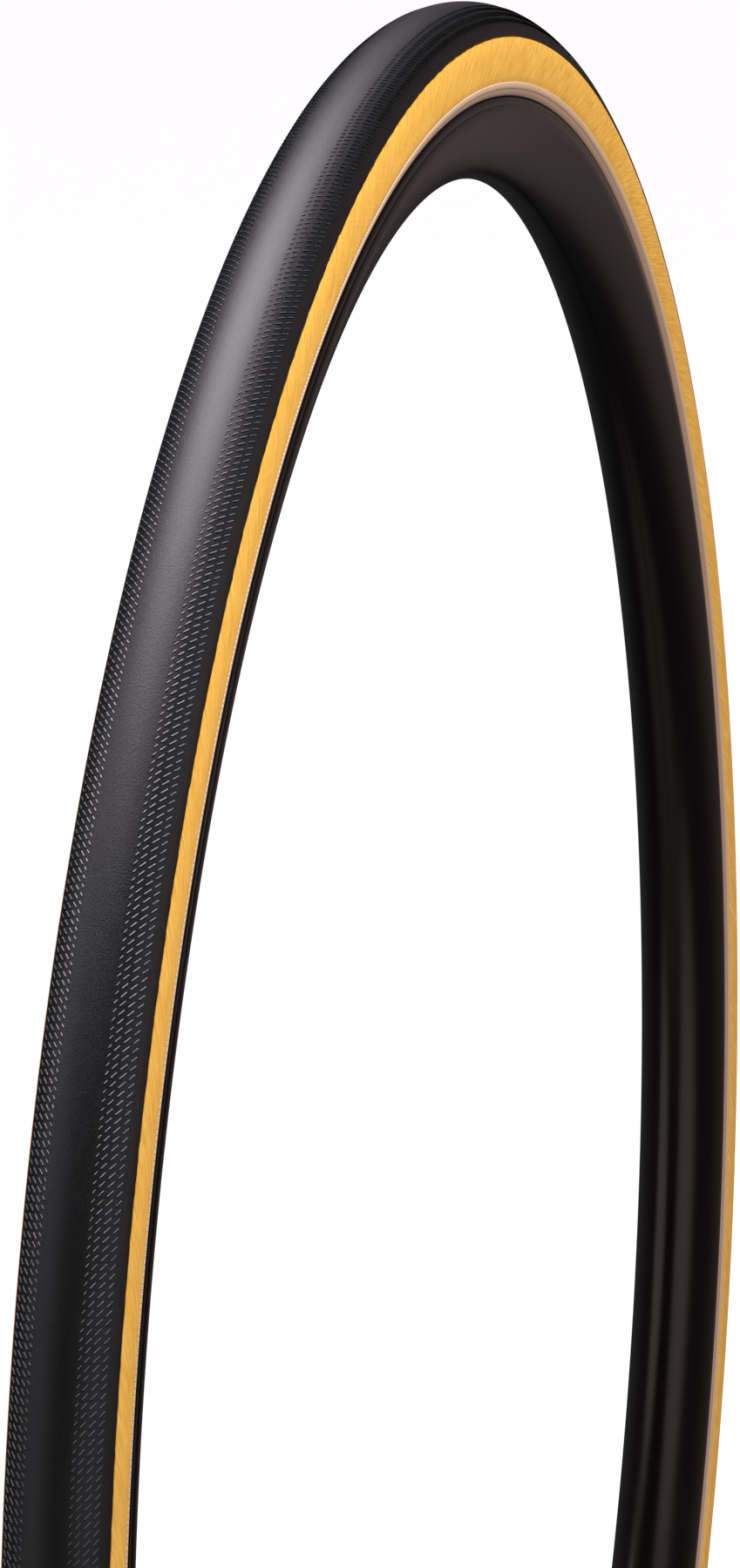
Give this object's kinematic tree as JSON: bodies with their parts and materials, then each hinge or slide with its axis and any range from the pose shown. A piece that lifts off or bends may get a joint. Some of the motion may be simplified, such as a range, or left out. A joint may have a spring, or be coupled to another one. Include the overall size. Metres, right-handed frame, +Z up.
{
  "type": "bicycle tyre",
  "caption": "Slim road bicycle tyre with textured tread shoulders and amber cotton sidewalls, inflated on a shallow black rim with its tube and screw-down valve.",
  "frame": {"origin": "centre of the wheel, where the axle's axis meets the wheel's middle plane", "axes": "+Y along the axle, X and Z in the wheel's plane, +Z up, valve at the bottom (-Z)"},
  "size_m": [0.6726, 0.0256, 0.6726],
  "materials": {
    "tread_rubber": "soft matt black rubber with a dull sheen",
    "belt_cloth": "rubberised aramid cloth",
    "casing_cotton": "fine amber cotton under a thin latex coat",
    "ply_cloth": "raw cotton ply",
    "chafer_weave": "ribbed tan woven strip",
    "bead_cord": "stiff aramid cord",
    "tube_rubber": "matt butyl rubber",
    "seal_rubber": "soft black rubber",
    "rim_tape_cloth": "woven blue tape",
    "rim_black": "satin black composite",
    "valve_metal": "nickel-plated, machined",
    "core_brass": "bright turned brass",
    "cap_plastic": "smooth black plastic"
  },
  "bodies": {
    "wheel": {"tread_cap": "tread_rubber", "puncture_belt": "belt_cloth", "outer_casing_ply": "casing_cotton", "inner_casing_ply": "ply_cloth", "left_bead_core": "bead_cord", "right_bead_core": "bead_cord", "left_chafer_strip": "chafer_weave", "right_chafer_strip": "chafer_weave", "inner_tube": "tube_rubber", "rim_tape": "rim_tape_cloth", "rim_body": "rim_black", "valve_base_patch": "tube_rubber", "valve_stem": "valve_metal", "valve_core_body": "core_brass", "valve_core_seal": "seal_rubber"},
    "cap": {"valve_cap": "cap_plastic"},
    "rim_washer": {"valve_rim_washer": "seal_rubber"},
    "rim_nut": {"valve_rim_nut": "valve_metal"},
    "plunger": {"valve_plunger": "core_brass", "valve_plunger_seal": "seal_rubber"},
    "lock_tip": {"valve_lock_tip": "core_brass"}
  },
  "joints": [
    {"name": "cap_pull", "type": "slide", "parent": "wheel", "child": "cap", "axis": [0, 0, 1], "range_m": [0, 0.03]},
    {"name": "washer_slide", "type": "slide", "parent": "wheel", "child": "rim_washer", "axis": [0, 0, 1], "range_m": [0, 0.004]},
    {"name": "rim_nut_turn", "type": "hinge", "parent": "rim_washer", "child": "rim_nut", "pos_m": [0, 0, -0.29], "axis": [0, 0, 1], "range_deg": [0, 1800]},
    {"name": "plunger_press", "type": "slide", "parent": "wheel", "child": "plunger", "axis": [0, 0, -1], "range_m": [0, 0.0015]},
    {"name": "lock_tip_turn", "type": "hinge", "parent": "plunger", "child": "lock_tip", "pos_m": [0, 0, -0.27], "axis": [0, 0, 1], "range_deg": [-1080, 0]}
  ],
  "couplings": [
    {"joint": "rim_nut_turn", "follows": "washer_slide", "rad_per_m": 7854}
  ]
}
